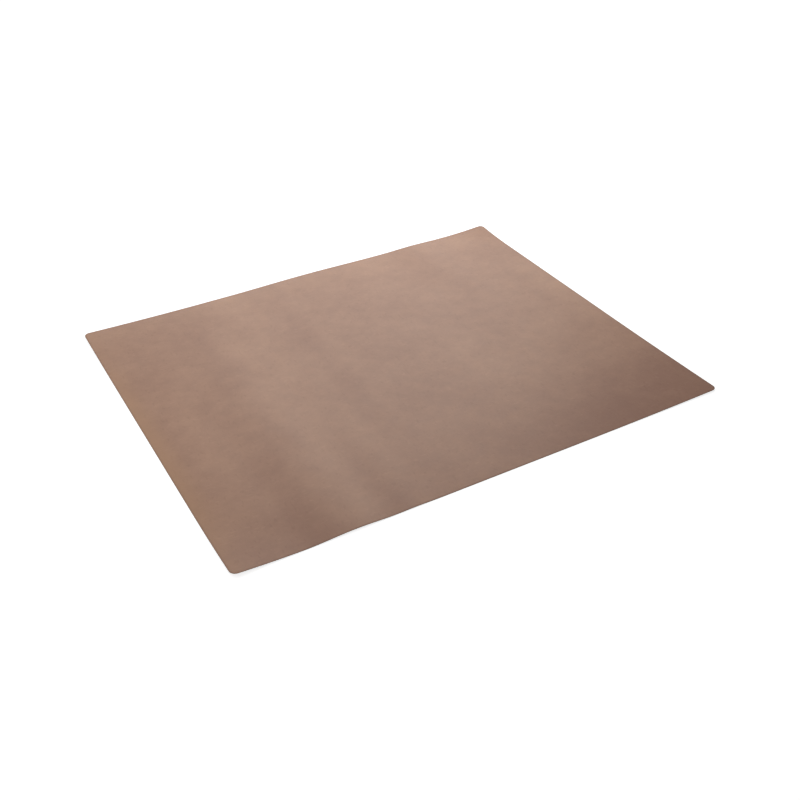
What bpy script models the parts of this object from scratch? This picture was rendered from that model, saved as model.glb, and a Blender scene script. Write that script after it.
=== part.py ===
"""An oven liner: a sheet of woven glass cloth with a non-stick coating on both faces, lying free.

Metres, +Z up. The origin is on the surface that the sheet lies on, under the middle of the sheet.
The long sides run along X, and the front one is at -Y.
"""

import math
from typing import NamedTuple

import bmesh
import bpy

# Cut size
LENGTH = 0.400
WIDTH = 0.330
CORNER_RADIUS = 0.0045

# Layers, from the bottom up: coating, cloth, coating
COATING_THICKNESS = 0.000035
CLOTH_THICKNESS = 0.00017
BOND_GAP = 0.000005

# Ends of the sheet along X, and its sides along Y
LEFT = -1
RIGHT = 1
FRONT = -1
BACK = 1


class Ridge(NamedTuple):
    """A low wave parallel to the short sides, highest at one long side and level again after its run."""

    side: int
    place: float
    half_width: float
    height: float
    run: float


class Curl(NamedTuple):
    """A corner that lifts off the surface, bent about a line square to the corner's diagonal."""

    end: int
    side: int
    height: float
    reach: float


# What is left of the roll that the sheet was stored in
RIDGES = (
    Ridge(side=FRONT, place=-0.114, half_width=0.038, height=0.0014, run=0.330),
    Ridge(side=FRONT, place=-0.070, half_width=0.023, height=0.0004, run=0.150),
    Ridge(side=BACK, place=0.006, half_width=0.080, height=0.0009, run=0.240),
    Ridge(side=BACK, place=0.119, half_width=0.031, height=0.0006, run=0.160),
)
CURLS = (
    Curl(end=LEFT, side=FRONT, height=0.0030, reach=0.050),
    Curl(end=RIGHT, side=FRONT, height=0.0013, reach=0.090),
    Curl(end=LEFT, side=BACK, height=0.0016, reach=0.075),
    Curl(end=RIGHT, side=BACK, height=0.0020, reach=0.032),
)

# Fineness of the shape
BENDS_ALONG_LENGTH = 40
BENDS_ALONG_WIDTH = 14
CORNER_STEPS = 6
CIRCULAR_PROFILE = 0.5
SHARPEST_SMOOTH_TURN = math.radians(30)


def faded(share):
    """1 where the share is 0, falling evenly to 0 where it reaches 1 either way, and level at both."""
    return (1 + math.cos(math.pi * min(abs(share), 1))) / 2


def rise(x, y):
    """How high the sheet's underside stands over the surface at this place."""
    height = 0.0
    for ridge in RIDGES:
        from_side = WIDTH / 2 - ridge.side * y
        across = faded((x - ridge.place) / ridge.half_width)
        height += ridge.height * across * faded(from_side / ridge.run)
    for curl in CURLS:
        from_end = LENGTH / 2 - curl.end * x
        from_side = WIDTH / 2 - curl.side * y
        from_corner = (from_end + from_side) / math.sqrt(2)
        height += curl.height * max(0, 1 - from_corner / curl.reach) ** 2
    return height


def cut_outline(shape):
    """The flat outline as cut: a square stretched to the cut size, with its four corners rounded."""
    bmesh.ops.create_grid(shape, x_segments=1, y_segments=1, size=1 / 2)
    bmesh.ops.scale(shape, vec=(LENGTH, WIDTH, 1), verts=shape.verts)
    bmesh.ops.bevel(
        shape,
        geom=shape.verts[:],
        affect="VERTICES",
        offset=CORNER_RADIUS,
        segments=CORNER_STEPS,
        profile=CIRCULAR_PROFILE,
    )


def add_bend_lines(shape):
    """Straight lines across the outline both ways, at which the layer can follow the ridges."""
    cuts = []
    for step in range(1, BENDS_ALONG_LENGTH):
        cuts.append(((LENGTH * (step / BENDS_ALONG_LENGTH - 1 / 2), 0, 0), (1, 0, 0)))
    for step in range(1, BENDS_ALONG_WIDTH):
        cuts.append(((0, WIDTH * (step / BENDS_ALONG_WIDTH - 1 / 2), 0), (0, 1, 0)))
    for place, direction in cuts:
        everything = shape.verts[:] + shape.edges[:] + shape.faces[:]
        bmesh.ops.bisect_plane(shape, geom=everything, plane_co=place, plane_no=direction)
    bmesh.ops.triangulate(shape, faces=shape.faces[:])


def add_layer(name, underside, thickness, material):
    """One layer of the laminate, from its underside's height where the sheet lies flat."""
    shape = bmesh.new()
    cut_outline(shape)
    add_bend_lines(shape)
    for vertex in shape.verts:
        vertex.co.z = underside + rise(vertex.co.x, vertex.co.y)
    raised = bmesh.ops.extrude_face_region(shape, geom=shape.faces[:])["geom"]
    upper = [part for part in raised if isinstance(part, bmesh.types.BMVert)]
    bmesh.ops.translate(shape, vec=(0, 0, thickness), verts=upper)
    bmesh.ops.recalc_face_normals(shape, faces=shape.faces[:])

    mesh = bpy.data.meshes.new(name)
    shape.to_mesh(mesh)
    shape.free()
    mesh.shade_smooth()
    mesh.set_sharp_from_angle(angle=SHARPEST_SMOOTH_TURN)
    mesh.materials.append(material)
    layer = bpy.data.objects.new(name, mesh)
    bpy.context.scene.collection.objects.link(layer)
    return layer


def plain_material(name, colour, roughness):
    """A material of one colour, neither metal nor glass."""
    material = bpy.data.materials.new(name)
    material.use_nodes = True
    surface = material.node_tree.nodes["Principled BSDF"]
    surface.inputs["Base Color"].default_value = (*colour, 1)
    surface.inputs["Roughness"].default_value = roughness
    surface.inputs["Metallic"].default_value = 0
    return material


def brown_coating(name):
    """Baked non-stick coating, a satin reddish brown."""
    return plain_material(name, colour=(0.36, 0.235, 0.175), roughness=0.45)


def glass_cloth(name):
    """Woven glass, stained tan by the coating that has soaked into it."""
    return plain_material(name, colour=(0.52, 0.42, 0.31), roughness=0.7)


def lower_coating():
    """The layer that lies on the oven floor or rack."""
    finish = brown_coating("lower_coating")
    return add_layer("lower_coating", 0, COATING_THICKNESS, finish)


def glass_cloth_core():
    """The woven layer that carries the sheet, bonded between the coatings."""
    top_of_coating = COATING_THICKNESS
    finish = glass_cloth("glass_cloth_core")
    return add_layer("glass_cloth_core", top_of_coating + BOND_GAP, CLOTH_THICKNESS, finish)


def upper_coating():
    """The layer that food and spills touch."""
    top_of_cloth = COATING_THICKNESS + BOND_GAP + CLOTH_THICKNESS
    finish = brown_coating("upper_coating")
    return add_layer("upper_coating", top_of_cloth + BOND_GAP, COATING_THICKNESS, finish)


for leftover in list(bpy.data.objects):
    bpy.data.objects.remove(leftover)

lower_coating()
glass_cloth_core()
upper_coating()
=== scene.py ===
"""The looks of an oven liner: a brown sheet of coated glass cloth that lies on a pale floor.

Metres, +Z up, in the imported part's own frame. The long sides run along X, and the front one is at -Y.
"""

import math
from typing import NamedTuple

import bmesh
import bpy
from mathutils import Matrix, Vector


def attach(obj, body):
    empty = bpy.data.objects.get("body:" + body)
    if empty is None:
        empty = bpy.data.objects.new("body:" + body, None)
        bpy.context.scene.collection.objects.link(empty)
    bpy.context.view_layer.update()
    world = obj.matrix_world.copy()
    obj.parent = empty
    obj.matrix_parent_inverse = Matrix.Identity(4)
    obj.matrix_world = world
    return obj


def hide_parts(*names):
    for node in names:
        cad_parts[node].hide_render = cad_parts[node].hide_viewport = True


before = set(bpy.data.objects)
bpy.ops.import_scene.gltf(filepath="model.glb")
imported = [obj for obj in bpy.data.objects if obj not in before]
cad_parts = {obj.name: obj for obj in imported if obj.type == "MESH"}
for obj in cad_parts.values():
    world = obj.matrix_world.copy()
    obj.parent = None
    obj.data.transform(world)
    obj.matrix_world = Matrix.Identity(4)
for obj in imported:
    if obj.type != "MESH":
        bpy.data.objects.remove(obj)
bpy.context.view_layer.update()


# The glass cloth that carries the sheet. It is a plain weave of glass yarn, stained tan by the
# coating that has soaked into it, and it was cut together with its coatings, so that its thread
# ends show all round. The sheet lies free, and keeps low ripples and curls from its stored roll.

LENGTH = 0.400
WIDTH = 0.330
CORNER_RADIUS = 0.0045
COATING_THICKNESS = 0.000035
CLOTH_THICKNESS = 0.00017
BOND_GAP = 0.000005

LEFT = -1
RIGHT = 1
FRONT = -1
BACK = 1


class Ridge(NamedTuple):
    """A low wave parallel to the short sides, highest at one long side and level after its run."""

    side: int
    place: float
    half_width: float
    height: float
    run: float


class Curl(NamedTuple):
    """A corner that lifts off the floor, bent about a line square to the corner's diagonal."""

    end: int
    side: int
    height: float
    reach: float


RIDGES = (
    Ridge(side=FRONT, place=-0.114, half_width=0.038, height=0.0014, run=0.330),
    Ridge(side=FRONT, place=-0.070, half_width=0.023, height=0.0004, run=0.150),
    Ridge(side=BACK, place=0.006, half_width=0.080, height=0.0009, run=0.240),
    Ridge(side=BACK, place=0.119, half_width=0.031, height=0.0006, run=0.160),
)
CURLS = (
    Curl(end=LEFT, side=FRONT, height=0.0030, reach=0.050),
    Curl(end=RIGHT, side=FRONT, height=0.0013, reach=0.090),
    Curl(end=LEFT, side=BACK, height=0.0016, reach=0.075),
    Curl(end=RIGHT, side=BACK, height=0.0020, reach=0.032),
)


def faded(share):
    """1 where the share is 0, falling evenly to 0 where it reaches 1 either way, and level at both."""
    return (1 + math.cos(math.pi * min(abs(share), 1))) / 2


def rise(x, y):
    """How high the sheet's underside stands over the floor at this place."""
    height = 0.0
    for ridge in RIDGES:
        from_side = WIDTH / 2 - ridge.side * y
        across = faded((x - ridge.place) / ridge.half_width)
        height += ridge.height * across * faded(from_side / ridge.run)
    for curl in CURLS:
        from_end = LENGTH / 2 - curl.end * x
        from_side = WIDTH / 2 - curl.side * y
        from_corner = (from_end + from_side) / math.sqrt(2)
        height += curl.height * max(0, 1 - from_corner / curl.reach) ** 2
    return height


STEPS_ALONG_LENGTH = 130
STEPS_ALONG_WIDTH = 106
STEPS_ROUND_CORNER = 8
SHARPEST_SMOOTH_TURN = math.radians(30)


def cut_rows():
    """The sheet's rows of points as cut: each row's place along Y, and how far it reaches along X."""
    straight = WIDTH / 2 - CORNER_RADIUS
    rows = []
    for step in range(STEPS_ALONG_WIDTH + 1):
        rows.append((straight * (2 * step / STEPS_ALONG_WIDTH - 1), LENGTH / 2))
    for step in range(1, STEPS_ROUND_CORNER + 1):
        turn = math.pi / 2 * step / STEPS_ROUND_CORNER
        place = straight + CORNER_RADIUS * math.sin(turn)
        reach = LENGTH / 2 - CORNER_RADIUS * (1 - math.cos(turn))
        rows.append((place, reach))
        rows.insert(0, (-place, reach))
    return rows


def laminate_layer(name, underside, thickness, material):
    """One layer as a closed skin that follows the sheet's ripples, with its cut edge all round."""
    rows = cut_rows()
    shape = bmesh.new()
    skins = []
    for level in (underside, underside + thickness):
        points = []
        for place, reach in rows:
            row = []
            for step in range(STEPS_ALONG_LENGTH + 1):
                along = reach * (2 * step / STEPS_ALONG_LENGTH - 1)
                row.append(shape.verts.new((along, place, level + rise(along, place))))
            points.append(row)
        skins.append(points)
        for near, far in zip(points, points[1:]):
            for step in range(STEPS_ALONG_LENGTH):
                shape.faces.new((near[step], near[step + 1], far[step + 1], far[step]))
    rims = [open_rim(points) for points in skins]
    count = len(rims[0])
    for step in range(count):
        after = (step + 1) % count
        shape.faces.new((rims[0][step], rims[0][after], rims[1][after], rims[1][step]))
    bmesh.ops.recalc_face_normals(shape, faces=shape.faces[:])

    mesh = bpy.data.meshes.new(name)
    shape.to_mesh(mesh)
    shape.free()
    mesh.shade_smooth()
    mesh.set_sharp_from_angle(angle=SHARPEST_SMOOTH_TURN)
    mesh.materials.append(material)
    layer = bpy.data.objects.new(name, mesh)
    bpy.context.scene.collection.objects.link(layer)
    return layer


def open_rim(points):
    """The outermost points of a grid of rows, once round."""
    front = points[0]
    right = [row[-1] for row in points[1:-1]]
    back = points[-1][::-1]
    left = [row[0] for row in points[-2:0:-1]]
    return front + right + back + left


class Field:
    """A value over a surface, held as a node's socket. Arithmetic on it adds Math nodes."""

    def __init__(self, tree, socket=None):
        self.tree = tree
        self.socket = socket

    def node(self, kind, settings=None, sockets=None, output=0):
        """Adds one node, makes its settings first, feeds its sockets, and gives one of its outputs."""
        made = self.tree.nodes.new(kind)
        for name, value in (settings or {}).items():
            setattr(made, name, value)
        for name, value in (sockets or {}).items():
            if isinstance(value, Field):
                self.tree.links.new(value.socket, made.inputs[name])
            else:
                made.inputs[name].default_value = value
        return Field(self.tree, made.outputs[output])

    def maths(self, operation, *terms):
        """One Math node on these terms."""
        return self.node("ShaderNodeMath", {"operation": operation}, dict(enumerate(terms)))

    def __add__(self, other):
        return self.maths("ADD", self, other)

    def __radd__(self, other):
        return self.maths("ADD", other, self)

    def __sub__(self, other):
        return self.maths("SUBTRACT", self, other)

    def __rsub__(self, other):
        return self.maths("SUBTRACT", other, self)

    def __mul__(self, other):
        return self.maths("MULTIPLY", self, other)

    def __rmul__(self, other):
        return self.maths("MULTIPLY", other, self)

    def __pow__(self, other):
        return self.maths("POWER", self, other)

    def __abs__(self):
        return self.maths("ABSOLUTE", self)

    def sine(self):
        return self.maths("SINE", self)

    def sign(self):
        return self.maths("SIGN", self)

    def at_least(self, other):
        return self.maths("MAXIMUM", self, other)

    def at_most(self, other):
        return self.maths("MINIMUM", self, other)

    def eased(self, start, end):
        """0 up to the start, 1 from the end on, and a smooth rise in between."""
        settings = {"interpolation_type": "SMOOTHSTEP"}
        limits = {"Value": self, "From Min": start, "From Max": end}
        return self.node("ShaderNodeMapRange", settings, limits)

    def blend(self, low, high):
        """The colour that lies this far from the low one to the high one."""
        settings = {"data_type": "RGBA"}
        return self.node("ShaderNodeMix", settings, {"Factor": self, 6: low, 7: high}, output=2)


def colour(red, green, blue):
    """A colour for a socket."""
    return (red, green, blue, 1)


def grey(level):
    """A colour without a hue."""
    return colour(level, level, level)


# Threads per metre each way in cloth of this weight, and how far and how often they wander
THREADS_ACROSS_LENGTH = 1730
THREADS_ACROSS_WIDTH = 1260
THREAD_WANDER = 0.00035
WARP_WANDERS_OVER = 0.030
WEFT_WANDERS_OVER = 0.021
THREAD_ROUNDNESS = 0.5


class Laminate(NamedTuple):
    """What a finish of the sheet needs to know of a place on it."""

    place: Field
    along: Field
    across: Field
    from_edge: Field
    warp: Field
    weft: Field


def speckle(place, size, detail=2):
    """Random clouds from 0 to 1, of this size in metres."""
    sockets = {"Vector": place, "Scale": 1 / size, "Detail": detail}
    return place.node("ShaderNodeTexNoise", {}, sockets)


def laminate_fields(tree):
    """The fields that all three layers share, since one weave shapes them all."""
    place = Field(tree).node("ShaderNodeTexCoord", output="Object")
    along = place.node("ShaderNodeSeparateXYZ", {}, {"Vector": place}, output="X")
    across = Field(tree, along.socket.node.outputs["Y"])

    # How far inside the cut edge the place lies, round the corners too
    past_end = abs(along) - (LENGTH / 2 - CORNER_RADIUS)
    past_side = abs(across) - (WIDTH / 2 - CORNER_RADIUS)
    round_corner = (past_end.at_least(0) ** 2 + past_side.at_least(0) ** 2) ** 0.5
    inner = past_end.at_least(past_side).at_most(0)
    from_edge = CORNER_RADIUS - round_corner - inner

    # Each thread is a rounded bar that rises over every second one it meets
    drift = (speckle(place, WARP_WANDERS_OVER) - 0.5) * THREAD_WANDER
    skew = (speckle(place, WEFT_WANDERS_OVER) - 0.5) * THREAD_WANDER
    warp_turn = ((along + drift) * (THREADS_ACROSS_LENGTH * math.pi)).sine()
    weft_turn = ((across + skew) * (THREADS_ACROSS_WIDTH * math.pi)).sine()
    warp = abs(warp_turn) ** THREAD_ROUNDNESS * (warp_turn.sign() * weft_turn + 1) * 0.5
    weft = abs(weft_turn) ** THREAD_ROUNDNESS * (1 - weft_turn.sign() * warp_turn) * 0.5
    return Laminate(place, along, across, from_edge, warp, weft)


def finish_surface(name, ior):
    """A material with one shader, of a substance that bends light this much, and that shader."""
    material = bpy.data.materials.new(name)
    material.use_nodes = True
    surface = material.node_tree.nodes["Principled BSDF"]
    surface.inputs["IOR"].default_value = ior
    return material, surface


# Stained glass cloth: what makes a place tan, how much tan still counts as none, and its relief
STAINED_GAP = colour(0.27, 0.18, 0.12)
TAN_YARN = colour(0.58, 0.48, 0.36)
TAN_ON_THREAD = 0.75
TAN_OFF_STAIN = 0.35
STAIN_SIZE = 0.006
NO_TAN = 0.1
GAP_ROUGHNESS = 0.75
YARN_ROUGHNESS = 0.55
CLOTH_RELIEF = 0.00005


def stained_glass_cloth():
    """Glass yarn, tan where the coating has soaked in, and brown between the threads."""
    material, surface = finish_surface("stained_glass_cloth", ior=1.5)
    tree = material.node_tree
    sheet = laminate_fields(tree)
    thread = sheet.warp.at_least(sheet.weft)
    tan = thread * TAN_ON_THREAD + speckle(sheet.place, STAIN_SIZE) * TAN_OFF_STAIN
    yarn = tan.eased(NO_TAN, 1).blend(STAINED_GAP, TAN_YARN)
    tree.links.new(yarn.socket, surface.inputs["Base Color"])
    rough = GAP_ROUGHNESS - thread * (GAP_ROUGHNESS - YARN_ROUGHNESS)
    tree.links.new(rough.socket, surface.inputs["Roughness"])
    sockets = {"Strength": 1.0, "Distance": CLOTH_RELIEF, "Height": thread}
    relief = thread.node("ShaderNodeBump", {}, sockets)
    tree.links.new(relief.socket, surface.inputs["Normal"])
    return material


glass_cloth = laminate_layer(
    "woven_glass_cloth",
    COATING_THICKNESS + BOND_GAP,
    CLOTH_THICKNESS,
    stained_glass_cloth(),
)
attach(glass_cloth, "root")
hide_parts("glass_cloth_core")


# The two coatings. Each is a fluoropolymer film, coloured brown and baked onto the cloth in thin
# coats, so that the weave and the yarn's slubs still show through it. It is satin and mottled,
# and ochre along the left end. Its brown also holds painted light and shade: bands of painted
# ripple light and shade, painted shade towards the front right, a paler back, and a thin rim of
# painted edge shade at the cut itself, which is also a little rougher.

# The brown runs from dark at -1 to pale at 1, and every change below is on that scale
DARK_BROWN = colour(0.276, 0.131, 0.079)
PALE_BROWN = colour(0.510, 0.293, 0.186)
OCHRE = colour(0.457, 0.249, 0.131)
# The grey of the painted edge shade at the cut
RIM_SHADE_GREY = colour(0.115, 0.100, 0.082)


class Mottle(NamedTuple):
    """Random paler and darker places of one size, and how far they change the brown."""

    size: float
    change: float


CLOUDS = Mottle(size=0.045, change=0.76)
BLOTCHES = Mottle(size=0.011, change=0.52)
GRAINS = Mottle(size=0.0032, change=0.26)


class PaintedRippleShade(NamedTuple):
    """A faint band that runs parallel to the short sides: painted ripple light where its change is
    above 0, and painted ripple shade below 0.
    """

    place: float
    half_width: float
    change: float
    front_end: float
    back_end: float


# Bands of painted light and shade of the sheet's ripples, written into the coating's brown
PAINTED_RIPPLE_SHADES = (
    PaintedRippleShade(place=-0.168, half_width=0.020, change=0.20, front_end=-0.065, back_end=0.020),
    PaintedRippleShade(place=-0.136, half_width=0.024, change=-0.25, front_end=-0.300, back_end=-0.085),
    PaintedRippleShade(place=-0.122, half_width=0.024, change=-0.20, front_end=0.060, back_end=0.140),
    PaintedRippleShade(place=-0.098, half_width=0.018, change=0.14, front_end=-0.300, back_end=0.120),
    PaintedRippleShade(place=-0.096, half_width=0.014, change=0.10, front_end=-0.300, back_end=-0.070),
    PaintedRippleShade(place=-0.077, half_width=0.009, change=-0.08, front_end=-0.300, back_end=-0.060),
    PaintedRippleShade(place=-0.076, half_width=0.024, change=0.17, front_end=-0.100, back_end=0.300),
    PaintedRippleShade(place=-0.059, half_width=0.012, change=0.10, front_end=-0.140, back_end=0.000),
    PaintedRippleShade(place=-0.040, half_width=0.015, change=-0.16, front_end=-0.060, back_end=0.130),
    PaintedRippleShade(place=-0.022, half_width=0.009, change=0.09, front_end=0.010, back_end=0.300),
    PaintedRippleShade(place=-0.018, half_width=0.032, change=0.20, front_end=-0.130, back_end=-0.080),
    PaintedRippleShade(place=0.010, half_width=0.030, change=-0.06, front_end=0.010, back_end=0.125),
    PaintedRippleShade(place=0.010, half_width=0.032, change=-0.17, front_end=-0.060, back_end=-0.010),
    PaintedRippleShade(place=0.080, half_width=0.048, change=0.20, front_end=-0.085, back_end=-0.030),
    PaintedRippleShade(place=0.107, half_width=0.022, change=-0.18, front_end=0.055, back_end=0.085),
    PaintedRippleShade(place=0.154, half_width=0.026, change=0.14, front_end=-0.060, back_end=-0.020),
    PaintedRippleShade(place=0.198, half_width=0.032, change=0.38, front_end=-0.020, back_end=0.075),
)
RIPPLE_SHADE_FADE = 0.045


def painted_ripple_shading(sheet):
    """The sum of the painted ripple light and shade at a place."""
    total = 0
    for ripple_band in PAINTED_RIPPLE_SHADES:
        inside = 1 - abs(sheet.along - ripple_band.place).eased(0, ripple_band.half_width)
        begun = sheet.across.eased(ripple_band.front_end - RIPPLE_SHADE_FADE, ripple_band.front_end + RIPPLE_SHADE_FADE)
        ended = sheet.across.eased(ripple_band.back_end - RIPPLE_SHADE_FADE, ripple_band.back_end + RIPPLE_SHADE_FADE)
        # each band adds painted ripple light above 0 and painted ripple shade below 0
        total += inside * begun * (1 - ended) * ripple_band.change
    return total


# Slubs, the short thick places in a yarn: their size, and the level of noise at which they start
SLUB_LENGTH = 0.0042
SLUB_WIDTH = 0.0017
SLUB_START = 0.66
SLUB_FULL = 0.80
PALE_SLUB_CHANGE = 0.14
DARK_SLUB_CHANGE = 0.16


def slubs(sheet, along, across, shift):
    """1 on a scattered slub of this size each way, and 0 off it. Each shift scatters them anew."""
    scaled = {0: sheet.place, 1: (1 / along, 1 / across, 1)}
    stretched = sheet.place.node("ShaderNodeVectorMath", {"operation": "MULTIPLY"}, scaled)
    moved = {0: stretched, 1: (shift, shift, shift)}
    place = sheet.place.node("ShaderNodeVectorMath", {"operation": "ADD"}, moved)
    return speckle(place, 1, detail=0).eased(SLUB_START, SLUB_FULL)


# Painted shade darkens the brown along the front, most so at its right, and the back is made paler
FRONT_SHADE_ENDS = -0.080
FRONT_SHADE_CHANGE = 0.16
CORNER_SHADE_ENDS = -0.055
CORNER_SHADE_STARTS = 0.0
CORNER_SHADE_FULL = 0.14
CORNER_SHADE_CHANGE = 0.54
PALER_BACK_STARTS = 0.125
PALER_BACK_CHANGE = 0.16
PALER_CORNER_STARTS = 0.0
PALER_CORNER_FULL = 0.12
PALER_CORNER_CHANGE = 0.09


def painted_front_shade_and_paler_back(sheet):
    """The change of the brown: painted shade along the front below 0, and a paler back above 0."""
    along_front = 1 - sheet.across.eased(-WIDTH / 2, FRONT_SHADE_ENDS)
    near_front = 1 - sheet.across.eased(-WIDTH / 2, CORNER_SHADE_ENDS)
    front_right = near_front * sheet.along.eased(CORNER_SHADE_STARTS, CORNER_SHADE_FULL)
    # painted shade: the front, most of all its right, is darkened
    painted_shade = along_front * FRONT_SHADE_CHANGE + front_right * CORNER_SHADE_CHANGE
    along_back = sheet.across.eased(PALER_BACK_STARTS, WIDTH / 2)
    to_the_right = sheet.along.eased(PALER_CORNER_STARTS, PALER_CORNER_FULL)
    paler = along_back * (PALER_BACK_CHANGE + to_the_right * PALER_CORNER_CHANGE)
    return paler - painted_shade


# The left end is ochre, less so towards the back and at the front corner
OCHRE_REACH = 0.020
OCHRE_SHARE = 0.6
OCHRE_BACK_STARTS = 0.03
OCHRE_BACK_FULL = 0.14
OCHRE_BACK_LOSS = 0.8
OCHRE_CORNER_ENDS = -0.060
OCHRE_CORNER_LOSS = 0.6


def ochre_end(sheet):
    """How far the brown turns ochre."""
    left_end = 1 - (sheet.along + LENGTH / 2).eased(0, OCHRE_REACH)
    along_back = sheet.across.eased(OCHRE_BACK_STARTS, OCHRE_BACK_FULL)
    near_corner = 1 - sheet.across.eased(-WIDTH / 2, OCHRE_CORNER_ENDS)
    kept = 1 - along_back * OCHRE_BACK_LOSS - near_corner * OCHRE_CORNER_LOSS
    return left_end * kept * OCHRE_SHARE


# How far in from the cut the painted edge shade reaches, and how far it turns the brown grey there
RIM_SHADE_FADES_FROM = 0.0005
RIM_SHADE_ENDS = 0.0016
RIM_SHADE_SHARE = 0.22

# The threads that show through the film, and what makes the film rougher, smoother or higher
AVERAGE_THREAD = 0.6
THREAD_CHANGE = 0.11
FILM_ROUGHNESS = 0.52
THREAD_SMOOTHING = 0.05
BLOTCH_ROUGHENING = 0.08
RIM_ROUGHENING = 0.15
GRAIN_HEIGHT = 0.3
SLUB_HEIGHT = 0.5
COATING_RELIEF = 0.000018


def baked_coating(name):
    """The brown coating of one face."""
    material, surface = finish_surface(name, ior=1.38)
    tree = material.node_tree
    sheet = laminate_fields(tree)
    thread = sheet.warp.at_least(sheet.weft)

    clouds = speckle(sheet.place, CLOUDS.size) - 0.5
    blotches = speckle(sheet.place, BLOTCHES.size) - 0.5
    grains = speckle(sheet.place, GRAINS.size) - 0.5
    mottle = clouds * CLOUDS.change + blotches * BLOTCHES.change + grains * GRAINS.change
    pale_slubs = slubs(sheet, SLUB_LENGTH, SLUB_WIDTH, shift=3.7)
    dark_slubs = slubs(sheet, SLUB_WIDTH, SLUB_LENGTH, shift=11.3)
    flecks = pale_slubs * PALE_SLUB_CHANGE - dark_slubs * DARK_SLUB_CHANGE
    woven = (thread - AVERAGE_THREAD) * THREAD_CHANGE

    # This sum carries painted light and shade: the ripple bands, the shaded front and the paler back
    shade = mottle + flecks + woven + painted_ripple_shading(sheet) + painted_front_shade_and_paler_back(sheet)
    brown = shade.eased(-1, 1).blend(DARK_BROWN, PALE_BROWN)
    warmed = ochre_end(sheet).blend(brown, OCHRE)
    # painted edge shade: a thin rim at the cut, darker grey and also rougher
    at_rim = 1 - sheet.from_edge.eased(RIM_SHADE_FADES_FROM, RIM_SHADE_ENDS)
    edged = (at_rim * RIM_SHADE_SHARE).blend(warmed, RIM_SHADE_GREY)
    tree.links.new(edged.socket, surface.inputs["Base Color"])

    roughened = blotches * BLOTCH_ROUGHENING + at_rim * RIM_ROUGHENING
    rough = FILM_ROUGHNESS + roughened - thread * THREAD_SMOOTHING
    tree.links.new(rough.socket, surface.inputs["Roughness"])

    height = thread + grains * GRAIN_HEIGHT + pale_slubs * SLUB_HEIGHT
    sockets = {"Strength": 1.0, "Distance": COATING_RELIEF, "Height": height}
    relief = thread.node("ShaderNodeBump", {}, sockets)
    tree.links.new(relief.socket, surface.inputs["Normal"])
    return material


lower_face = laminate_layer(
    "coated_lower_face",
    0,
    COATING_THICKNESS,
    baked_coating("baked_lower_coating"),
)
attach(lower_face, "root")
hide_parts("lower_coating")

upper_face = laminate_layer(
    "coated_upper_face",
    COATING_THICKNESS + BOND_GAP + CLOTH_THICKNESS + BOND_GAP,
    COATING_THICKNESS,
    baked_coating("baked_upper_coating"),
)
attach(upper_face, "root")
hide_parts("upper_coating")


# The floor that the sheet lies on: a wide white board, which stays white to the camera and in
# gloss however little light falls on it, and which takes the sheet's thin shadow.

FLOOR_SIZE = 6.0
FLOOR_DROP = 0.00005
BOARD_PAINT = grey(0.55)

# The glow near the lamps and away from them, and where it starts and stops changing
NEAR_GLOW = grey(0.84)
FAR_GLOW = grey(1.02)
LIT_CIRCLE = 0.30
DIM_CIRCLE = 1.0


def seen_not_lighting(tree):
    """1 on what is seen straight, in gloss or through glass, and 0 on what only lights the sheet."""
    camera = Field(tree).node("ShaderNodeLightPath", output="Is Camera Ray")
    gloss = Field(tree, camera.socket.node.outputs["Is Glossy Ray"])
    glass = Field(tree, camera.socket.node.outputs["Is Transmission Ray"])
    return camera.at_least(gloss).at_least(glass)


def white_board():
    """White paint that glows where it is seen, more so away from the lamps."""
    material = bpy.data.materials.new("white_board")
    material.use_nodes = True
    tree = material.node_tree
    surface = tree.nodes["Principled BSDF"]
    surface.inputs["Base Color"].default_value = BOARD_PAINT
    surface.inputs["Roughness"].default_value = 0.9
    surface.inputs["Specular IOR Level"].default_value = 0.0
    surface.inputs["Emission Strength"].default_value = 1.0

    place = Field(tree).node("ShaderNodeTexCoord", output="Object")
    length = {"operation": "LENGTH"}
    from_middle = place.node("ShaderNodeVectorMath", length, {"Vector": place}, output="Value")
    glow = from_middle.eased(LIT_CIRCLE, DIM_CIRCLE).blend(NEAR_GLOW, FAR_GLOW)
    shown = seen_not_lighting(tree).blend(grey(0), glow)
    tree.links.new(shown.socket, surface.inputs["Emission Color"])
    return material


def floor_board():
    """A flat board, cut square, with its middle under the sheet."""
    shape = bmesh.new()
    corners = []
    for end, side in ((LEFT, FRONT), (RIGHT, FRONT), (RIGHT, BACK), (LEFT, BACK)):
        place = (end * FLOOR_SIZE / 2, side * FLOOR_SIZE / 2, -FLOOR_DROP)
        corners.append(shape.verts.new(place))
    shape.faces.new(corners)
    mesh = bpy.data.meshes.new("floor")
    shape.to_mesh(mesh)
    shape.free()
    mesh.materials.append(white_board())
    board = bpy.data.objects.new("floor", mesh)
    bpy.context.scene.collection.objects.link(board)
    return board


floor_board()


# The studio: a soft box close behind the right end, one over the left end, and two low ones far
# behind that only glance off the sheet. The white room shows in the sheet's gloss, and gives only
# a little even light.

ROOM_LIGHT = 0.08


class SoftBox(NamedTuple):
    """A lamp that faces the middle of the sheet: its place, its width and height, and its watts."""

    name: str
    place: tuple
    width: float
    height: float
    power: float


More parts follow.
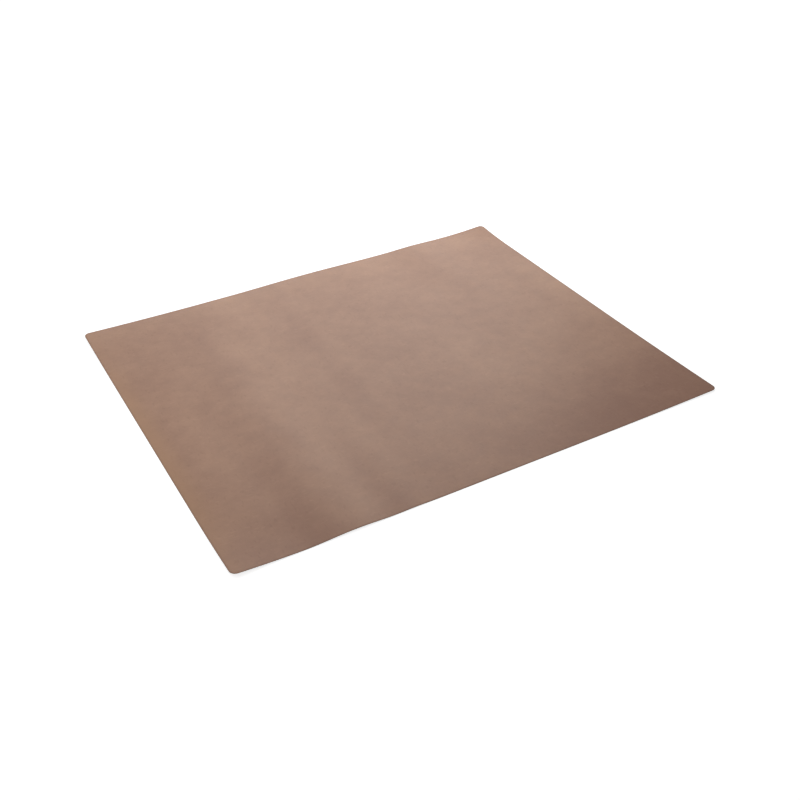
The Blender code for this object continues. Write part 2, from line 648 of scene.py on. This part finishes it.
SOFT_BOXES = (
    SoftBox("soft_box_behind_right", (0.239, 0.389, 0.408), width=0.5, height=0.5, power=2.21),
    SoftBox("soft_box_over_left", (-0.358, -0.001, 0.476), width=0.5, height=0.5, power=1.00),
    SoftBox("soft_box_behind", (0.057, 1.073, 0.270), width=0.5, height=0.5, power=1.45),
    SoftBox("soft_box_far_back", (1.661, 2.493, 0.270), width=0.5, height=0.5, power=7.31),
)

for box in SOFT_BOXES:
    light = bpy.data.lights.new(box.name, "AREA")
    light.shape = "RECTANGLE"
    light.size = box.width
    light.size_y = box.height
    light.energy = box.power
    lamp = bpy.data.objects.new(box.name, light)
    lamp.location = box.place
    lamp.rotation_euler = Vector(box.place).to_track_quat("Z", "Y").to_euler()
    lamp.visible_camera = False
    bpy.context.scene.collection.objects.link(lamp)

room = bpy.data.worlds.new("room")
room.use_nodes = True
backdrop = room.node_tree.nodes["Background"]
backdrop.inputs["Color"].default_value = grey(1)
strength = seen_not_lighting(room.node_tree) * (1 - ROOM_LIGHT) + ROOM_LIGHT
room.node_tree.links.new(strength.socket, backdrop.inputs["Strength"])
bpy.context.scene.world = room


# The camera, at the photograph's place: over the front left, and turned a little on its axis.

LENS = 46.764
CAMERA_PLACE = Vector((-0.33067, -0.61863, 0.46066))
LOOKS_TOWARDS = math.radians(29.010)
LOOKS_DOWN = math.radians(35.412)
ROLL = math.radians(-0.962)

level = Vector((math.sin(LOOKS_TOWARDS), math.cos(LOOKS_TOWARDS), 0))
ahead = level * math.cos(LOOKS_DOWN) - Vector((0, 0, math.sin(LOOKS_DOWN)))
to_right = ahead.cross(Vector((0, 0, 1))).normalized()
upward = to_right.cross(ahead)
rolled_right = to_right * math.cos(ROLL) + upward * math.sin(ROLL)
rolled_up = upward * math.cos(ROLL) - to_right * math.sin(ROLL)

view = bpy.data.objects.new("camera", bpy.data.cameras.new("camera"))
view.data.lens = LENS
turned = Matrix((rolled_right, rolled_up, -ahead)).transposed()
view.matrix_world = Matrix.Translation(CAMERA_PLACE) @ turned.to_4x4()
bpy.context.scene.collection.objects.link(view)
bpy.context.scene.camera = view
bpy.context.scene.view_settings.view_transform = "Standard"
